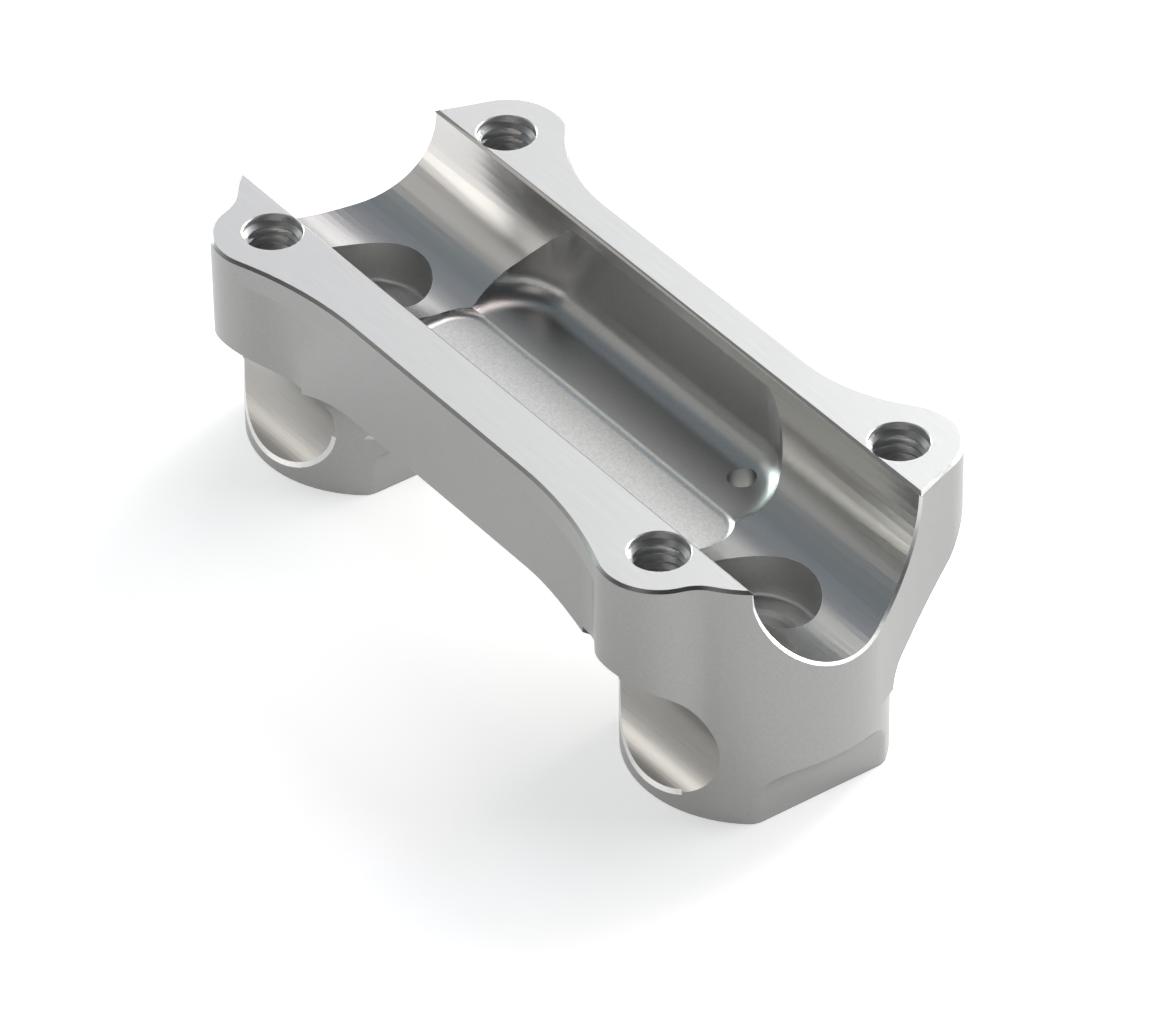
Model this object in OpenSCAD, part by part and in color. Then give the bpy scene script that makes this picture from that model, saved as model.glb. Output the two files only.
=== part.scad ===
// Handlebar clamp: the lower half of a clamp that holds a handlebar on two feet.
// One piece of aluminium, machined all over. Millimetres, +Z up, the bar along X.
// The origin is the middle of the footprint, on the surface the feet stand on.

/* [Overall] */
// Height from the feet to the clamping face
height = 37; // [30:0.5:50]
// Chamfer round the clamping face
top_chamfer = 0.4; // [0.2:0.05:1]

/* [Bar saddle] */
// Diameter of the bar
bar_d = 28.6; // [22:0.1:35]
// Chamfer on the long edges of the saddle
saddle_chamfer = 0.4; // [0.2:0.05:1]

/* [Cap screws] */
// Distance between the tapped holes along the bar
cap_x = 85; // [60:0.5:110]
// Distance between the tapped holes across the bar
cap_y = 37.5; // [32:0.5:45]
// Thread diameter of the cap screws
cap_d = 8; // [5:1:10]
// Threaded depth
cap_depth = 10.5; // [8:0.5:14]
// Radius of the lug round each tapped hole
lug_r = 8.2; // [7:0.1:10]

/* [Feet] */
// Distance between the foot bolts
foot_x = 85; // [60:0.5:110]
// Distance of the foot bolts from the bar axis, to the front
foot_y = 4; // [0:0.5:8]
// Diameter of a foot
foot_d = 34.4; // [28:0.2:40]
// Width of a foot over its two flats
foot_flats = 27.9; // [22:0.1:34]
// Height of the flats
flat_h = 3.9; // [3:0.1:10]
// Radius above the flats
flat_r = 4.8; // [3.5:0.1:6]
// Radius of the upright corners between a flat and the round foot
flat_corner = 3; // [1:0.5:5]
// Diameter of the foot bolt hole
bolt_d = 10.5; // [8.4:0.1:12.5]
// Diameter of the counterbore
cbore_d = 17; // [14:0.5:20]
// Height of the counterbore floor
cbore_z = 16.4; // [12:0.1:20]
// Radius at the counterbore floor
cbore_fillet = 0.7; // [0.3:0.1:1.5]
// Chamfer on the bolt hole
bolt_chamfer = 0.6; // [0.3:0.1:1]

/* [Bridge] */
// Distance of the front wall from the bar axis
front_y = 22.6; // [20:0.1:26]
// Distance of the rear wall from the bar axis
rear_y = 19.7; // [18:0.1:24]
// Radius between the front wall and a lug, below the lip
front_r = 9; // [6:0.5:20]
// Radius between the lip and a lug
lip_r = 60; // [30:1:80]
// Depth of the lip under the clamping face
lip_h = 3.5; // [2:0.1:6]
// Radius between the rear wall and a lug
rear_r = 24.5; // [15:0.5:40]
// Radius between a front lug and the foot
end_front_r = 5.5; // [3:0.5:10]
// Radius between a rear lug and the foot
end_rear_r = 90; // [20:5:150]
// Height of the underside at the front wall
under_z = 21.8; // [18:0.1:26]
// Height of the underside below the bar
belly_z = 16.8; // [14:0.1:20]
// Radius between the underside and a foot
root_r = 12.5; // [6:0.5:16]

/* [Front scallop] */
// Radius of the scallop along the front of a foot
scallop_r = 11.3; // [8:0.1:14]
// Distance of the scallop axis from the bar axis
scallop_y = 28.8; // [26:0.1:32]
// Height of the scallop axis
scallop_z = 10.3; // [9:0.1:16]
// Slope of the front lugs' underside, which runs into the scallop, in degrees
front_slope = 31.6; // [20:0.1:45]
// Distance from the middle at which the scallop begins
scallop_x = 31.3; // [28:0.1:34]

/* [Rear underside] */
// Slope of the rear underside in degrees
slope = 35.9; // [25:0.1:45]
// Radius between the slope and a foot
slope_r = 5; // [4:0.5:12]
// Distance of the vertical end of that radius from the bar axis
slope_end_y = 8.2; // [5:0.1:11]

/* [Pockets under the bar] */
// Half length of the pockets
pocket_x = 30.9; // [24:0.1:33]
// Distance of the pocket walls from the bar axis
pocket_y = 14.15; // [10:0.05:14.2]
// Depth of the rear pocket under the clamping face
rear_pocket = 14.5; // [14.3:0.1:16]
// Corner radius of the rear pocket
rear_pocket_r = 9.8; // [5:0.1:11]
// Floor radius of the rear pocket
rear_pocket_f = 4; // [1:0.5:5]
// Depth of the front pocket under the clamping face
front_pocket = 15.1; // [14.5:0.1:16.5]
// Corner radius of the front pocket
front_pocket_r = 5; // [3:0.1:8]
// Floor radius of the front pocket
front_pocket_f = 1.4; // [0.6:0.1:3]
// Position of the step between the pockets
step_y = 4.2; // [0:0.1:8]
// Diameter of the drain hole
drain_d = 3.9; // [2:0.1:6]
// Position of the drain hole along the bar
drain_x = 21.5; // [10:0.1:25]
// Position of the drain hole across the bar
drain_y = 9.8; // [5:0.1:12]

/* [Hidden] */
$fn = 96;
e = 0.01;
hx = cap_x / 2;
hy = cap_y / 2;
fx = foot_x / 2;
foot_r = foot_d / 2;
bar_r = bar_d / 2;
// centres of the concave radii between the walls and the lugs
front_cx = hx - sqrt(pow(lug_r + front_r, 2) - pow(front_y + front_r - hy, 2));
lip_cx = hx - sqrt(pow(lug_r + lip_r, 2) - pow(front_y + lip_r - hy, 2));
rear_cx = hx - sqrt(pow(lug_r + rear_r, 2) - pow(rear_y + rear_r - hy, 2));
// centres of the radii between a lug and the round end of the foot
ef = side_centre(-foot_y, foot_r, -hy, lug_r, end_front_r);
er = side_centre(-foot_y, foot_r, hy, lug_r, end_rear_r);
// the sloping underside runs through this point
slope_y0 = 25.5;
slope_z0 = height - 11.5;
// the outline reaches down to here
outline_z0 = 10.5;
// half length of the cuts that run right through along the bar
through = max(hx, fx) + foot_r + 10;

// centre of a circle of radius f that touches two circles on the line x = fx
function side_centre(y1, r1, y2, r2, f) =
    let (d = abs(y2 - y1), s = sign(y2 - y1),
         a = (pow(r1 + f, 2) - pow(r2 + f, 2) + d * d) / (2 * d))
    [sqrt(pow(r1 + f, 2) - a * a), y1 + s * a];

function slope_z(y) = slope_z0 - (slope_y0 - y) * tan(slope);

// round post with the top chamfer
module post(x, y, r, z0) {
    translate([x, y, 0]) rotate_extrude()
        polygon([[0, z0], [r, z0], [r, height - top_chamfer],
                 [r - top_chamfer, height], [0, height]]);
}

// cutter for a concave radius, opening with the top chamfer
module hollow(x, y, r, z0) {
    translate([x, y, 0]) rotate_extrude()
        polygon([[0, z0], [r, z0], [r, height - top_chamfer],
                 [r + top_chamfer + 1, height + 1], [0, height + 1]]);
}

// upright prism from z0 to the clamping face
module prism(pts, z0) {
    translate([0, 0, z0]) linear_extrude(height - z0) polygon(pts);
}

// bar along X with the given section in Y and Z
module along_x(x0, x1) {
    translate([x0, 0, 0]) rotate([90, 0, 90]) linear_extrude(x1 - x0) children();
}

// part of the outline between a wall and a lug; s is 1 at the rear, -1 at the front
module wall_web(cx, wall, r, s, z0) {
    difference() {
        prism([[cx, 0], [cx, s * (wall + r)], [hx, s * hy], [hx, 0]], z0);
        hollow(cx, s * (wall + r), r, z0 - 1);
    }
}

// part of the outline between a lug and the round end of the foot
module end_web(c, r, y, z0) {
    difference() {
        prism([[fx, -foot_y], [fx + c[0], c[1]], [hx, y]], z0);
        hollow(fx + c[0], c[1], r, z0 - 1);
    }
}

// half of the outline, for one foot
module half_outline(z0) {
    post(hx, hy, lug_r, z0);
    post(hx, -hy, lug_r, z0);
    wall_web(front_cx, front_y, front_r, -1, z0);
    wall_web(rear_cx, rear_y, rear_r, 1, z0);
    end_web(ef, end_front_r, -hy, z0);
    end_web(er, end_rear_r, hy, z0);
}

// straight middle of the outline with its chamfered edges
module middle(cx, y0, y1, c0, c1, z0) {
    along_x(-cx, cx)
        polygon([[y0, z0], [y1, z0], [y1, height - c1], [y1 - c1, height],
                 [y0 + c0, height], [y0, height - c0]]);
}

module outline(z0) {
    half_outline(z0);
    mirror([1, 0, 0]) half_outline(z0);
    middle(front_cx, -front_y, 0, top_chamfer, 0, z0);
    middle(rear_cx, 0, rear_y, 0, top_chamfer, z0);
}

// lip under the clamping face along the front
module lip() {
    z0 = height - lip_h;
    wall_web(lip_cx, front_y, lip_r, -1, z0);
    mirror([1, 0, 0]) wall_web(lip_cx, front_y, lip_r, -1, z0);
}

// space under the bridge between the feet, in Y and Z
module bridge_space() {
    polygon([[-30, 5], [31, 5], [31, slope_z(21) + 12], [21, slope_z(21)],
             [slope_y0 - (slope_z0 - belly_z) / tan(slope), belly_z],
             [-19.5 + under_z - belly_z, belly_z], [-19.5, under_z], [-30, under_z]]);
}

// space under the rear lugs, with the radius towards the foot
module end_space(x0, x1) {
    cy = slope_end_y + slope_r;
    cz = slope_z(cy) - slope_r / cos(slope);
    along_x(x0, x1)
        polygon([[slope_end_y, outline_z0 - 1], [31, outline_z0 - 1], [31, slope_z(21) + 12],
                 [21, slope_z(21)], [cy - slope_r * sin(slope) - 1,
                 slope_z(cy - slope_r * sin(slope) - 1)], [cy, cz], [slope_end_y, cz]]);
    along_x(x0 - 1, x1 + 1) translate([cy, cz]) circle(slope_r + 0.05);
}

// radius between the flat underside and the inner side of a foot
module root() {
    intersection() {
        translate([fx, -foot_y, 0]) rotate_extrude() difference() {
            translate([foot_r - 4, under_z - root_r]) square([root_r + 4, root_r + 1]);
            translate([foot_r + root_r, under_z - root_r]) circle(root_r);
        }
        translate([8, -front_y, 0]) cube([fx - 10, front_y + 12, height - 5]);
    }
}

// foot with its two flats, round in between, with rounded upright corners
module foot() {
    difference() {
        post(fx, -foot_y, foot_r, 0);
        for (m = [0, 1]) translate([fx, -foot_y, 0]) mirror([m, 0, 0]) flat_cut();
    }
}

// centre of the upright corner radius, from the foot axis; it crosses the foot by 0.03 mm
function corner_x() = foot_flats / 2 - flat_corner;
function corner_y() = sqrt(pow(foot_r - flat_corner + 0.03, 2) - pow(corner_x(), 2));

// what one flat takes off a foot, about the foot axis: the flat with the
// radius above it, and the same swept round both upright corners
module flat_cut() {
    x0 = foot_flats / 2;
    translate([x0, -corner_y(), -1]) cube([foot_r, 2 * corner_y(), flat_h + 1]);
    translate([x0 + flat_r, corner_y(), flat_h]) rotate([90, 0, 0])
        cylinder(h = 2 * corner_y(), r = flat_r);
    for (m = [0, 1]) mirror([0, m, 0]) translate([corner_x(), corner_y(), 0])
        rotate_extrude(angle = atan2(corner_y(), corner_x())) {
            translate([flat_corner, -1]) square([foot_r, flat_h + 1]);
            translate([flat_corner + flat_r, flat_h]) circle(flat_r);
        }
}

// cutter for the scallop of a foot and the sloping underside of the front lug
module scallop() {
    ty = -scallop_y + scallop_r * sin(front_slope);
    tz = scallop_z + scallop_r * cos(front_slope);
    y1 = -hy - lug_r - 5;
    along_x(scallop_x, through)
        polygon([[ty, tz], [y1, tz + (ty - y1) * tan(front_slope)], [y1, scallop_z],
                 [-scallop_y, scallop_z]]);
    along_x(scallop_x, through + 1) translate([-scallop_y, scallop_z])
        circle(scallop_r + 0.05);
}

// counterbore and bolt hole of a foot
module foot_bolt() {
    translate([fx, -foot_y, 0]) {
        rotate_extrude() difference() {
            translate([0, cbore_z]) square([cbore_d / 2, height]);
            difference() {
                translate([cbore_d / 2 - cbore_fillet, cbore_z - 1])
                    square([cbore_fillet + 1, cbore_fillet + 1]);
                translate([cbore_d / 2 - cbore_fillet, cbore_z + cbore_fillet])
                    circle(cbore_fillet);
            }
        }
        rotate_extrude() polygon([[0, -1], [bolt_d / 2 + bolt_chamfer + 1, -1],
            [bolt_d / 2, bolt_chamfer], [bolt_d / 2, cbore_z - bolt_chamfer],
            [bolt_d / 2 + bolt_chamfer + e, cbore_z + e], [0, cbore_z + e]]);
    }
}

// tapped hole: nominal thread diameter, drill point and a small countersink
module cap_hole(x, y) {
    r = cap_d / 2;
    translate([x, y, height]) rotate_extrude()
        polygon([[0, 1], [r + 1.15, 1], [r, -0.15], [r, -cap_depth],
                 [0, -cap_depth - r * tan(30)]]);
}

// section of a pocket with its floor radii
module pocket_section(a, b, f, z) {
    translate([a, z + f]) square([b - a, height]);
    translate([a + f, z]) square([b - a - 2 * f, f + 1]);
    translate([a + f, z + f]) circle(f);
    translate([b - f, z + f]) circle(f);
}

// cutter for a pocket with round corners and a floor radius
module pocket(hl, y0, y1, r, f, z) {
    for (x = [-hl + r, hl - r], y = [y0 + r, y1 - r])
        translate([x, y, 0]) rotate_extrude() {
            translate([0, z + f]) square([r, height]);
            translate([0, z]) square([r - f, f + 1]);
            translate([r - f, z + f]) circle(f);
        }
    along_x(-hl + r, hl - r) pocket_section(y0, y1, f, z);
    translate([0, y1 - r, 0]) rotate([90, 0, 0]) linear_extrude(y1 - y0 - 2 * r)
        pocket_section(-hl, hl, f, z);
}

module clamp_body() {
    color("#b9b9b7") difference() {
        union() {
            difference() {
                outline(outline_z0);
                along_x(-scallop_x, scallop_x) bridge_space();
                end_space(scallop_x, through);
                end_space(-through, -scallop_x);
            }
            lip();
            for (m = [0, 1]) mirror([m, 0, 0]) {
                root();
                foot();
            }
        }
        // bar saddle
        along_x(-through, through) translate([0, height]) circle(bar_r);
        along_x(-through, through) polygon([[-bar_r - saddle_chamfer - 1, height + 1],
            [-bar_r, height - saddle_chamfer], [bar_r, height - saddle_chamfer],
            [bar_r + saddle_chamfer + 1, height + 1]]);
        // scallops along the front of the feet
        for (m = [0, 1]) mirror([m, 0, 0])
            scallop();
        // pockets under the bar
        pocket(pocket_x, -8, pocket_y, rear_pocket_r, rear_pocket_f, height - rear_pocket);
        pocket(pocket_x, -pocket_y, step_y, front_pocket_r, front_pocket_f,
               height - front_pocket);
        translate([drain_x, drain_y, 10]) cylinder(h = 20, r = drain_d / 2);
        for (m = [0, 1]) mirror([m, 0, 0]) foot_bolt();
        for (x = [-hx, hx], y = [-hy, hy]) cap_hole(x, y);
    }
}

clamp_body();
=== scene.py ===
"""The lower half of a handlebar clamp, machined from aluminium, standing on white paper."""

import math

import bpy
from mathutils import Matrix, Vector


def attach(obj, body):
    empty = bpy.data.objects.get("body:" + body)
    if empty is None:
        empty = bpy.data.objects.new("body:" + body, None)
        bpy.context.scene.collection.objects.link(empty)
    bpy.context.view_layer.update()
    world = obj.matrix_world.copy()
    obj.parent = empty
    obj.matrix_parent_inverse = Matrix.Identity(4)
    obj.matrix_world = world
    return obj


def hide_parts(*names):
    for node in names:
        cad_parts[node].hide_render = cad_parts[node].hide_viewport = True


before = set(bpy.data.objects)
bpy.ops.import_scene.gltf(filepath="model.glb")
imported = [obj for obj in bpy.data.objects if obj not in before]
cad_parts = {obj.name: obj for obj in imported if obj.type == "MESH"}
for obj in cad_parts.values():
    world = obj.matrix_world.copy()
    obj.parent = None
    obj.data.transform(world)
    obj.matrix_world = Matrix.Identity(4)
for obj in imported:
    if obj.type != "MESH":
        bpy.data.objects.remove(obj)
bpy.context.view_layer.update()

# ---------------------------------------------------------------------------
# The clamp body: one block of aluminium, milled all over and left bare, with
# the bar seat bored along its top. The CAD solid is copied, the seat's ends
# and the scallops' lower rims are broken, and each cut gets its own finish.
# ---------------------------------------------------------------------------
TOP_Z = 0.037
BAR_Z, BAR_RADIUS = TOP_Z, 0.0143
FOOT_X, FOOT_Y, FOOT_RADIUS = 0.0425, -0.004, 0.0172
SCALLOP_Y, SCALLOP_Z, SCALLOP_RADIUS = -0.0288, 0.0103, 0.01135
HOLE_X, HOLE_Y, HOLE_RADIUS = 0.0425, 0.01875, 0.0042
HOLES = [(x, y) for x in (HOLE_X, -HOLE_X) for y in (-HOLE_Y, HOLE_Y)]
MERGE = 1e-6
SMOOTH_UNDER = math.radians(24)


def pick(thing):
    """Makes one object the only one selected, and the active one."""
    bpy.ops.object.select_all(action="DESELECT")
    bpy.context.view_layer.objects.active = thing
    thing.select_set(True)


def edit_all(operator, **settings):
    """Runs an edit mode operator on the whole mesh of the active object."""
    bpy.ops.object.mode_set(mode="EDIT")
    bpy.ops.mesh.select_all(action="SELECT")
    operator(**settings)
    bpy.ops.object.mode_set(mode="OBJECT")


body = bpy.data.objects.new("body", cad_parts["clamp_body"].data.copy())
bpy.context.scene.collection.objects.link(body)
pick(body)
edit_all(bpy.ops.mesh.remove_doubles, threshold=MERGE)
bpy.ops.mesh.customdata_custom_splitnormals_clear()


def linear(hex_colour):
    """An sRGB hex colour as linear RGBA."""
    parts = [int(hex_colour[i : i + 2], 16) / 255 for i in (1, 3, 5)]
    return [c / 12.92 if c <= 0.04045 else ((c + 0.055) / 1.055) ** 2.4 for c in parts] + [1.0]


def new_material(name):
    """An empty node material."""
    material = bpy.data.materials.new(name)
    material.use_nodes = True
    material.node_tree.nodes.clear()
    return material


def add_node(material, kind, settings=None, **links):
    """Adds a node. Settings are attributes or input values. Links feed inputs, i0 the first."""
    node = material.node_tree.nodes.new(kind)
    for key, value in (settings or {}).items():
        if isinstance(key, int) or key in node.inputs:
            node.inputs[key].default_value = value
        else:
            setattr(node, key, value)
    for key, socket in links.items():
        numbered = key[0] == "i" and key[1:].isdigit()
        target = node.inputs[int(key[1:])] if numbered else node.inputs[key.replace("_", " ")]
        material.node_tree.links.new(socket, target)
    return node


def cut_aluminium(name, light, dark, roughness, spread, marks_mm, relief):
    """Bare cut aluminium. Its cutter marks are marks_mm long in X, Y and Z.

    They run the tone from dark to light and the roughness by spread either way,
    and stand 0.02 mm high times relief.
    """
    metal = new_material(name)
    place = add_node(metal, "ShaderNodeTexCoord")
    scale = [1000 / mm for mm in marks_mm]
    size = add_node(metal, "ShaderNodeMapping", {"Scale": scale}, Vector=place.outputs["Object"])
    marks = add_node(
        metal,
        "ShaderNodeTexNoise",
        {"Scale": 1.0, "Detail": 3.0, "Roughness": 0.6},
        Vector=size.outputs["Vector"],
    )
    usual = {"From Min": 0.3, "From Max": 0.7}  # most of the noise lies between these
    depth = add_node(metal, "ShaderNodeMapRange", usual, Value=marks.outputs["Fac"])
    tone = add_node(
        metal,
        "ShaderNodeMix",
        {"data_type": "RGBA", 6: linear(dark), 7: linear(light)},
        i0=depth.outputs["Result"],
    )
    gloss = add_node(
        metal,
        "ShaderNodeMapRange",
        usual | {"To Min": roughness - spread, "To Max": roughness + spread},
        Value=marks.outputs["Fac"],
    )
    height = add_node(
        metal,
        "ShaderNodeBump",
        {"Strength": relief, "Distance": 0.00002},
        Height=marks.outputs["Fac"],
    )
    surface = add_node(
        metal,
        "ShaderNodeBsdfPrincipled",
        {"Metallic": 1.0},
        Base_Color=tone.outputs[2],
        Roughness=gloss.outputs["Result"],
        Normal=height.outputs["Normal"],
    )
    add_node(metal, "ShaderNodeOutputMaterial", Surface=surface.outputs["BSDF"])
    return metal


METALS = [
    # Side-milled walls: an even satin. The grain, 0.1 mm on the real one, is
    # drawn at 0.4 mm to show.
    cut_aluminium("side-milled aluminium", "#9E9E9C", "#979795", 0.37, 0.03, (0.4, 0.4, 0.4), 0.15),
    # Face-milled and brushed along the bar: the lightest surface. Its hair
    # lines, 0.1 mm apart, are drawn 0.2 mm apart to show.
    cut_aluminium("brushed aluminium face", "#D2D2D0", "#CACAC8", 0.38, 0.02, (12, 0.2, 0.2), 0.3),
    # Bored by a bar along X: smooth enough that the lamps draw bands on it. Its
    # lines are drawn as wide apart as those of the top.
    cut_aluminium("bored aluminium seat", "#C6C4C1", "#C1BFBC", 0.26, 0.012, (12, 0.2, 0.2), 0.05),
    # The walls of both pockets and the floor of the rear one, cut by a long mill
    # with a rounded end. Their tone, darker than the top, is painted shade in the recesses. Marks
    # 0.2 mm apart are drawn at 0.5 mm to show.
    cut_aluminium(
        "end-milled aluminium pocket with painted shade", "#B9B9B7", "#B1B1AF", 0.33, 0.03, (0.5, 0.5, 0.5), 0.12
    ),
    # The floor of the front pocket: rough from the mill's end, with a sparkle.
    # The grain, about 0.2 mm, is drawn at 0.35 mm to show.
    cut_aluminium(
        "grainy aluminium pocket floor", "#E8E7E4", "#D2D1CD", 0.38, 0.05, (0.35, 0.35, 0.35), 0.6
    ),
    # The scallops, cut along X by a round-nosed mill: a band of light runs down
    # them. Lines 0.1 mm apart are drawn at 0.3 mm to show.
    cut_aluminium(
        "ball-milled aluminium scallop", "#A09E9A", "#989692", 0.32, 0.02, (8, 0.3, 0.3), 0.12
    ),
    # The counterbores, bolt holes and countersinks: dull, with rings 0.1 mm
    # apart, drawn at 0.2 mm to show.
    cut_aluminium("counterbored aluminium", "#DCDCDA", "#CFCFCD", 0.42, 0.04, (0.6, 0.6, 0.2), 0.2),
    # The broken edges of the seat and the scallops: cut last, so they are bright.
    cut_aluminium(
        "chamfered aluminium edge", "#D6D6D4", "#CCCCCA", 0.36, 0.03, (0.5, 0.5, 0.5), 0.1
    ),
]
WALL, TOP, SEAT, POCKET, POCKET_FLOOR, SCALLOP, BORE, EDGE = range(len(METALS))

body.data.materials.clear()
for metal in METALS:
    body.data.materials.append(metal)
for face in body.data.polygons:
    face.material_index = WALL

# The edges to break: the half rounds where the seat leaves the ends, and the
# lower halves of the rims where the scallops leave the feet.
SEAT_CHAMFER, RIM_CHAMFER = 0.0005, 0.0007
SEAT_END_X, SEAT_END_TOP = 0.0525, TOP_Z - 0.0003
RIM_END_X = 0.0494
ON_CUT, ON_FOOT = 5e-5, 1e-4


def seat_normal(p):
    return Vector((0, -p.y, BAR_Z - p.z)).normalized()


def scallop_normal(p):
    return Vector((0, SCALLOP_Y - p.y, SCALLOP_Z - p.z)).normalized()


def on_seat_end(p):
    on_seat = abs(math.hypot(p.y, p.z - BAR_Z) - BAR_RADIUS) < ON_CUT
    return on_seat and abs(p.x) > SEAT_END_X and p.z < SEAT_END_TOP


def on_scallop_rim(p):
    on_scallop = abs(math.hypot(p.y - SCALLOP_Y, p.z - SCALLOP_Z) - SCALLOP_RADIUS) < ON_CUT
    on_foot = abs(math.hypot(abs(p.x) - FOOT_X, p.y - FOOT_Y) - FOOT_RADIUS) < ON_FOOT
    return on_scallop and on_foot and p.z < SCALLOP_Z and p.x < RIM_END_X


def round_bar(p):
    return math.atan2(p.y, BAR_Z - p.z)


def round_foot(p):
    return math.atan2(p.x - math.copysign(FOOT_X, p.x), -p.y)


WALL_TURN = math.radians(20)
POINT_GAP, EVEN_OUT = 0.0003, 0.002
OVERHANG = 0.6


def chamfer_cutter(mesh, on_edge, cut_normal, order, width):
    """A three-sided bar laid along a sharp edge, whose inner side cuts the chamfer.

    cut_normal gives the normal of the round cut at a point of the edge. The other
    face's is read from the mesh and evened out along the edge, so the bar has no twist.
    """
    walls = {}
    for face in mesh.polygons:
        for v in face.vertices:
            p = mesh.vertices[v].co
            if on_edge(p) and face.normal.angle(cut_normal(p)) > WALL_TURN:
                walls[v] = walls.get(v, Vector()) + face.normal * face.area**0.25
    points = [(mesh.vertices[v].co.copy(), wall) for v, wall in walls.items()]
    points.sort(key=lambda point: order(point[0]))
    kept = points[:1]
    for point in points[1:]:
        if (point[0] - kept[-1][0]).length > POINT_GAP:
            kept.append(point)
    corners, sides = [], []
    for i, (p, _) in enumerate(kept):
        along = (kept[min(i + 1, len(kept) - 1)][0] - kept[max(i - 1, 0)][0]).normalized()
        wall = sum((n.normalized() for q, n in kept if (q - p).length < EVEN_OUT), Vector())
        wall = (wall - wall.dot(along) * along).normalized()
        cut = cut_normal(p)
        cut = (cut - cut.dot(along) * along).normalized()
        # One step along each of the two faces, away from the edge.
        down_cut, down_wall = along.cross(cut), along.cross(wall)
        down_cut *= -1 if down_cut.dot(wall) > 0 else 1
        down_wall *= -1 if down_wall.dot(cut) > 0 else 1
        leg = width / (down_cut - down_wall).length
        one, two = p + leg * down_cut, p + leg * down_wall
        corners += [
            one + OVERHANG * (one - two),
            two + OVERHANG * (two - one),
            p + 2 * OVERHANG * leg * (cut + wall).normalized(),
        ]
        if i:
            n = 3 * i
            sides += [(n - 3 + k, n - 3 + (k + 1) % 3, n + (k + 1) % 3, n + k) for k in range(3)]
    last = len(corners) - 3
    bar = bpy.data.meshes.new("cutter")
    bar.from_pydata(corners, [], sides + [(2, 1, 0), (last, last + 1, last + 2)])
    # The chamfer takes the bar's slot, so its faces can be told afterwards.
    for metal in METALS:
        bar.materials.append(metal)
    for face in bar.polygons:
        face.material_index = EDGE
    return bar


for side in (1, -1):
    for on_edge, cut_normal, order, width in (
        (on_seat_end, seat_normal, round_bar, SEAT_CHAMFER),
        (on_scallop_rim, scallop_normal, round_foot, RIM_CHAMFER),
    ):
        bar = chamfer_cutter(
            body.data, lambda p: on_edge(p) and p.x * side > 0, cut_normal, order, width
        )
        cutter = bpy.data.objects.new("cutter", bar)
        bpy.context.scene.collection.objects.link(cutter)
        pick(cutter)
        edit_all(bpy.ops.mesh.normals_make_consistent, inside=False)
        pick(body)
        chamfer = body.modifiers.new("chamfer", "BOOLEAN")
        chamfer.operation = "DIFFERENCE"
        chamfer.solver = "MANIFOLD"
        chamfer.object = cutter
        bpy.ops.object.modifier_apply(modifier="chamfer")
        bpy.data.objects.remove(cutter)

# Shading: flat faces stay flat, fillets are smooth, and the chamfers are crisp.
edit_all(bpy.ops.mesh.remove_doubles, threshold=MERGE)
bpy.ops.object.shade_smooth_by_angle(angle=SMOOTH_UNDER)
edge_sides = {}
for face in body.data.polygons:
    for key in face.edge_keys:
        edge_sides.setdefault(key, set()).add(face.material_index == EDGE)
for edge in body.data.edges:
    if len(edge_sides[edge.key]) == 2:
        edge.use_edge_sharp = True
flatten = body.modifiers.new("flat faces", "WEIGHTED_NORMAL")
flatten.keep_sharp = True
bpy.ops.object.modifier_apply(modifier="flat faces")

# The finish of each face follows from the cutter that made it; the pockets' slot also carries
# painted shade.
SCALLOP_START, SCALLOP_BACK = 0.0312, -0.0235
POCKET_HALF, POCKET_SIDE, POCKET_LOW = 0.031, 0.0142, 0.0095
FRONT_POCKET_EDGE = 0.0038
BORE_RADIUS, SOLE_Z, HOLE_LOW = 0.00862, 0.0003, 0.02
LEVEL, UPWARD, UPRIGHT = 0.999, 0.3, -0.05
ON_TOP, ON_SEAT, ON_SCALLOP = 1e-5, 1.5e-4, 2e-4


def finish_of(c, n):
    """The slot of a face with centre c and normal n."""
    from_bar = math.hypot(c.y, c.z - BAR_Z)
    from_foot = math.hypot(abs(c.x) - FOOT_X, c.y - FOOT_Y)
    from_scallop = math.hypot(c.y - SCALLOP_Y, c.z - SCALLOP_Z)
    from_hole = min(math.hypot(c.x - x, c.y - y) for x, y in HOLES)
    between_walls = abs(c.x) < POCKET_HALF and abs(c.y) < POCKET_SIDE
    if n.z > LEVEL and c.z > TOP_Z - ON_TOP:
        return TOP
    if abs(from_bar - BAR_RADIUS) < ON_SEAT:
        return SEAT
    if (from_foot < BORE_RADIUS and c.z > SOLE_Z) or (from_hole < HOLE_RADIUS and c.z > HOLE_LOW):
        return BORE
    if between_walls and n.z > UPRIGHT and c.z > POCKET_LOW:
        return POCKET_FLOOR if c.y < FRONT_POCKET_EDGE and n.z > UPWARD else POCKET
    on_scallop = abs(from_scallop - SCALLOP_RADIUS) < ON_SCALLOP
    if on_scallop and abs(c.x) > SCALLOP_START and c.y > SCALLOP_BACK:
        return SCALLOP
    return WALL


for face in body.data.polygons:
    if face.material_index != EDGE:
        face.material_index = finish_of(face.center, face.normal)

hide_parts("clamp_body")
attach(body, "root")

# ---------------------------------------------------------------------------
# The threads of the four cap screw holes: M8, cut in the same block with a
# tap. Each is one helical ridge of 1.25 mm pitch under a small countersink.
# ---------------------------------------------------------------------------
PITCH = 0.00125
THREAD_ROOT, THREAD_CREST = 0.00401, 0.00335
THREAD_START, THREAD_TURNS, TURN_STEPS = 0.02735, 7, 48
TOOTH, CREST_SHARE = 0.98 * PITCH, 0.13
FLANK_SMOOTH = math.radians(25)
MIDDLE = ((THREAD_ROOT + THREAD_CREST) / 2, 0, THREAD_START)

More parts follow.
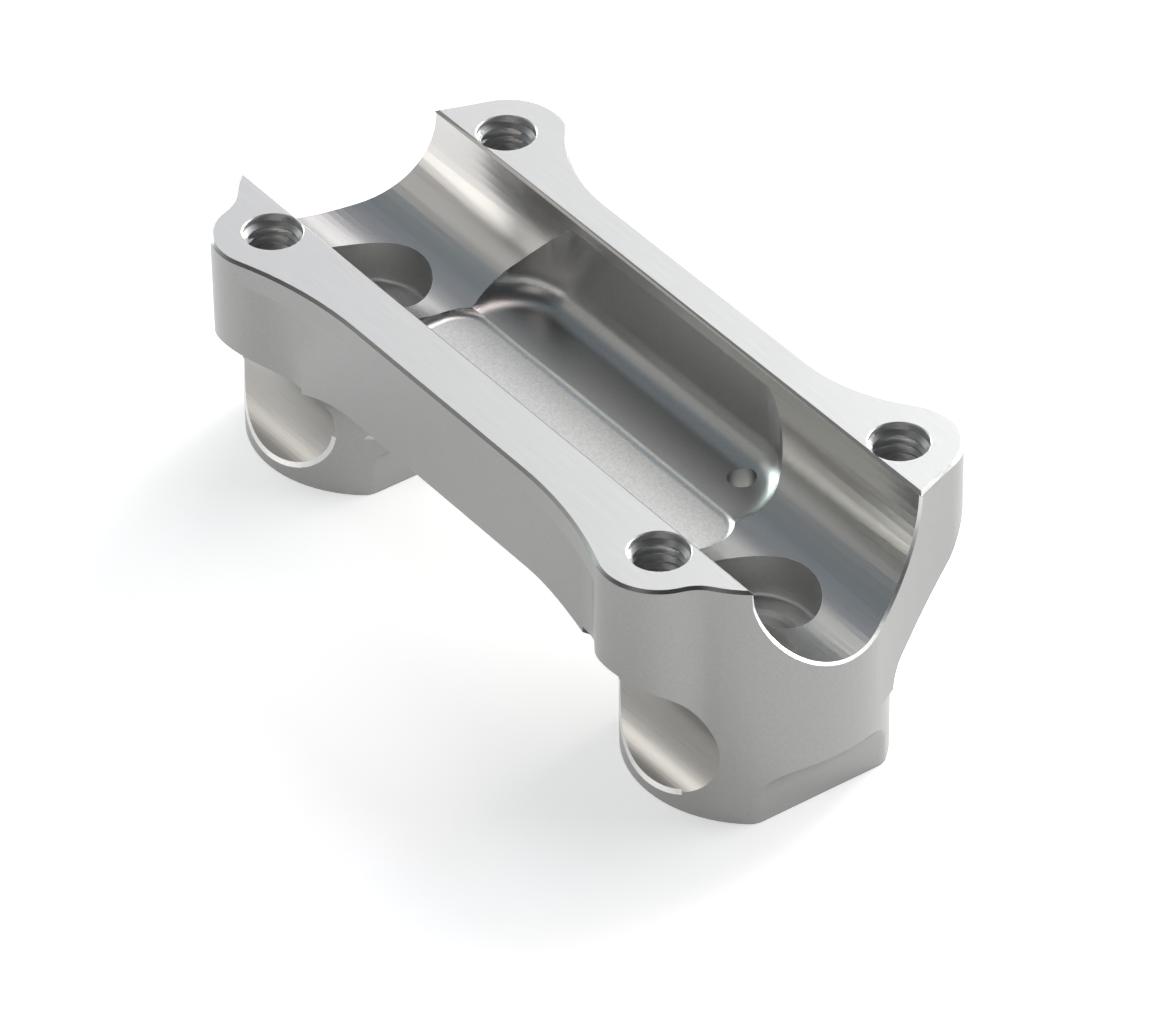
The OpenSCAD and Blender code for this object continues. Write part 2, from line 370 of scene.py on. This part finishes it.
# The section of one tooth: wide at the root, in the wall, and narrow at the crest.
bpy.ops.object.select_all(action="DESELECT")
bpy.ops.mesh.primitive_plane_add(size=TOOTH, location=MIDDLE, rotation=(math.pi / 2, 0, 0))
pattern = bpy.context.active_object
bpy.ops.object.transform_apply(location=True, rotation=True, scale=True)
depth = (THREAD_ROOT - THREAD_CREST) / TOOTH
edit_all(bpy.ops.transform.resize, value=(depth, 1, 1), center_override=MIDDLE)
bpy.ops.object.mode_set(mode="EDIT")
bpy.context.tool_settings.mesh_select_mode = (True, False, False)
bpy.ops.mesh.select_all(action="DESELECT")
bpy.ops.object.mode_set(mode="OBJECT")
for vertex in pattern.data.vertices:
    vertex.select = vertex.co.x < MIDDLE[0]
bpy.ops.object.mode_set(mode="EDIT")
bpy.ops.transform.resize(value=(1, 1, CREST_SHARE), center_override=MIDDLE)
bpy.ops.object.mode_set(mode="OBJECT")
edit_all(bpy.ops.mesh.delete, type="ONLY_FACE")

# The tap winds it up the hole, and the two ends are closed.
tap = pattern.modifiers.new("tap", "SCREW")
tap.axis = "Z"
tap.angle = math.tau
tap.screw_offset = PITCH
tap.iterations = THREAD_TURNS
tap.steps = tap.render_steps = TURN_STEPS
bpy.ops.object.modifier_apply(modifier="tap")
edit_all(bpy.ops.mesh.fill_holes, sides=4)
edit_all(bpy.ops.mesh.normals_make_consistent, inside=False)
bpy.ops.object.shade_smooth_by_angle(angle=FLANK_SMOOTH)

# Tapped: smooth flanks, whose crests catch the light. Marks finer than the
# ridge would only show as specks, so they are faint and 1 mm long.
thread_metal = cut_aluminium(
    "tapped aluminium thread", "#E6E6E4", "#DEDEDC", 0.33, 0.02, (1.0, 1.0, 1.0), 0.03
)
pattern.data.materials.append(thread_metal)
for number, (x, y) in enumerate(HOLES, 1):
    thread = bpy.data.objects.new(f"thread_{number}", pattern.data.copy())
    thread.data.transform(Matrix.Translation((x, y, 0)))
    bpy.context.scene.collection.objects.link(thread)
    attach(thread, "root")
bpy.data.objects.remove(pattern)

# ---------------------------------------------------------------------------
# The table: a sheet of matt white paper, wide enough to fill the view. It shows
# white, also in the metal, and keeps the soft shadow of the clamp.
# ---------------------------------------------------------------------------
TABLE_SIZE, PAPER_GLOW = 16.0, 0.52

bpy.ops.object.select_all(action="DESELECT")
bpy.ops.mesh.primitive_plane_add(size=TABLE_SIZE, location=(0, 0, 0))
table = bpy.context.active_object
table.name = "table"

# Uncoated paper: fully matt. It sends the lamps' light back as paper does, and
# glows only to the camera, to glossy rays and to transmitted ones.
paper = new_material("white paper")
sheet = add_node(paper, "ShaderNodeBsdfDiffuse", {"Color": linear("#F4F4F4")})
rays = add_node(paper, "ShaderNodeLightPath")
seen = add_node(
    paper,
    "ShaderNodeMath",
    {"operation": "ADD"},
    i0=rays.outputs["Is Camera Ray"],
    i1=rays.outputs["Is Glossy Ray"],
)
seen = add_node(
    paper,
    "ShaderNodeMath",
    {"operation": "ADD"},
    i0=seen.outputs["Value"],
    i1=rays.outputs["Is Transmission Ray"],
)
level = add_node(
    paper,
    "ShaderNodeMath",
    {"operation": "MULTIPLY", 1: PAPER_GLOW},
    i0=seen.outputs["Value"],
)
glow = add_node(
    paper, "ShaderNodeEmission", {"Color": linear("#FFFFFF")}, Strength=level.outputs["Value"]
)
both = add_node(
    paper, "ShaderNodeAddShader", i0=sheet.outputs["BSDF"], i1=glow.outputs["Emission"]
)
add_node(paper, "ShaderNodeOutputMaterial", Surface=both.outputs["Shader"])
table.data.materials.append(paper)

# ---------------------------------------------------------------------------
# The lamps: soft boxes a metre away in a dim room, most of them behind the
# clamp, because bare metal shows its lamps. Azimuth runs from +X towards +Y,
# in degrees. The sizes are in metres and the power is in watts.
# ---------------------------------------------------------------------------
LAMP_DISTANCE, LAMP_AIM = 1.0, Vector((0, 0, 0.02))
SOFT_BOXES = [
    # name, azimuth, elevation, width, height, watts, colour
    ("rear right strip", 60, 8, 0.53, 0.25, 8.29, "#F9FDFF"),
    ("rear strip", 90, 8, 0.53, 0.25, 9.71, "#FFF7F1"),
    ("left strip", 180, 8, 0.53, 0.25, 4.20, "#EDFFFD"),
    ("front left strip", 240, 8, 0.53, 0.25, 1.67, "#FFFCF9"),
    ("rear left low box", 120, 25, 0.49, 0.33, 1.67, "#F7FFF7"),
    ("rear left low box 2", 150, 25, 0.49, 0.33, 0.77, "#FDF9FF"),
    ("left low box", 210, 25, 0.49, 0.33, 0.40, "#FFFCF8"),
    ("rear box", 105, 44, 0.39, 0.36, 3.72, "#F5F6FF"),
    ("rear left box", 135, 44, 0.39, 0.36, 0.32, "#F8FFFD"),
    ("left box", 165, 44, 0.39, 0.36, 0.14, "#E7F1FF"),
    ("left box 2", 195, 44, 0.39, 0.36, 0.12, "#E0F0FF"),
    ("front left box", 225, 44, 0.39, 0.36, 0.09, "#E3F3FF"),
    ("front box", 285, 44, 0.39, 0.36, 0.42, "#FFFAF8"),
    ("rear left high box", 120, 66, 0.38, 0.40, 1.24, "#FFEFF1"),
    ("left high box", 180, 66, 0.38, 0.40, 0.14, "#E0F4FF"),
    ("front right strip", 325, 16, 0.70, 0.22, 0.40, "#F6F8FF"),
]
for name, azimuth, elevation, wide, high, watts, colour in SOFT_BOXES:
    light = bpy.data.lights.new(name, "AREA")
    light.shape = "RECTANGLE"
    light.size, light.size_y = wide, high
    light.energy = watts
    light.color = linear(colour)[:3]
    lamp = bpy.data.objects.new(name, light)
    turn, rise = math.radians(azimuth), math.radians(elevation)
    way = Vector(
        (math.cos(rise) * math.cos(turn), math.cos(rise) * math.sin(turn), math.sin(rise))
    )
    lamp.location = LAMP_DISTANCE * way + LAMP_AIM
    lamp.rotation_mode = "QUATERNION"
    lamp.rotation_quaternion = way.to_track_quat("Z", "Y")
    lamp.visible_camera = False
    bpy.context.scene.collection.objects.link(lamp)

ROOM_TINT, ROOM_LEVEL = "#DDE4EC", 0.08
room = bpy.data.worlds.new("studio")
bpy.context.scene.world = room
room.use_nodes = True
background = room.node_tree.nodes["Background"]
background.inputs["Color"].default_value = linear(ROOM_TINT)
background.inputs["Strength"].default_value = ROOM_LEVEL

# ---------------------------------------------------------------------------
# The camera: a long lens a metre away, from the front right and above, fitted
# to the photograph.
# ---------------------------------------------------------------------------
AZIMUTH, ELEVATION, ROLL = math.radians(54.57), math.radians(37.59), math.radians(-0.89)
FOCAL_PX, IMAGE_WIDTH_PX, SENSOR_MM = 7945.24, 1160, 36.0
SIDE_MM, DROP_MM, DISTANCE_MM = 0.01, 23.26, 1018.56

right = Vector((math.cos(AZIMUTH), math.sin(AZIMUTH), 0))
up = Vector(
    (
        -math.sin(AZIMUTH) * math.sin(ELEVATION),
        math.cos(AZIMUTH) * math.sin(ELEVATION),
        math.cos(ELEVATION),
    )
)
back = right.cross(up)
rolled_right = math.cos(ROLL) * right + math.sin(ROLL) * up
rolled_up = math.cos(ROLL) * up - math.sin(ROLL) * right
lens = bpy.data.cameras.new("camera")
lens.sensor_fit = "HORIZONTAL"
lens.sensor_width = SENSOR_MM
lens.lens = FOCAL_PX * SENSOR_MM / IMAGE_WIDTH_PX
lens.clip_start, lens.clip_end = 0.05, 20.0
camera = bpy.data.objects.new("camera", lens)
bpy.context.scene.collection.objects.link(camera)
from_top_mm = -SIDE_MM * rolled_right - DROP_MM * rolled_up + DISTANCE_MM * back
stand = from_top_mm / 1000 + Vector((0, 0, TOP_Z))
turned = Matrix((rolled_right, rolled_up, back)).transposed().to_4x4()
camera.matrix_world = Matrix.Translation(stand) @ turned
bpy.context.scene.camera = camera
bpy.context.scene.view_settings.view_transform = "Standard"

bpy.context.view_layer.update()
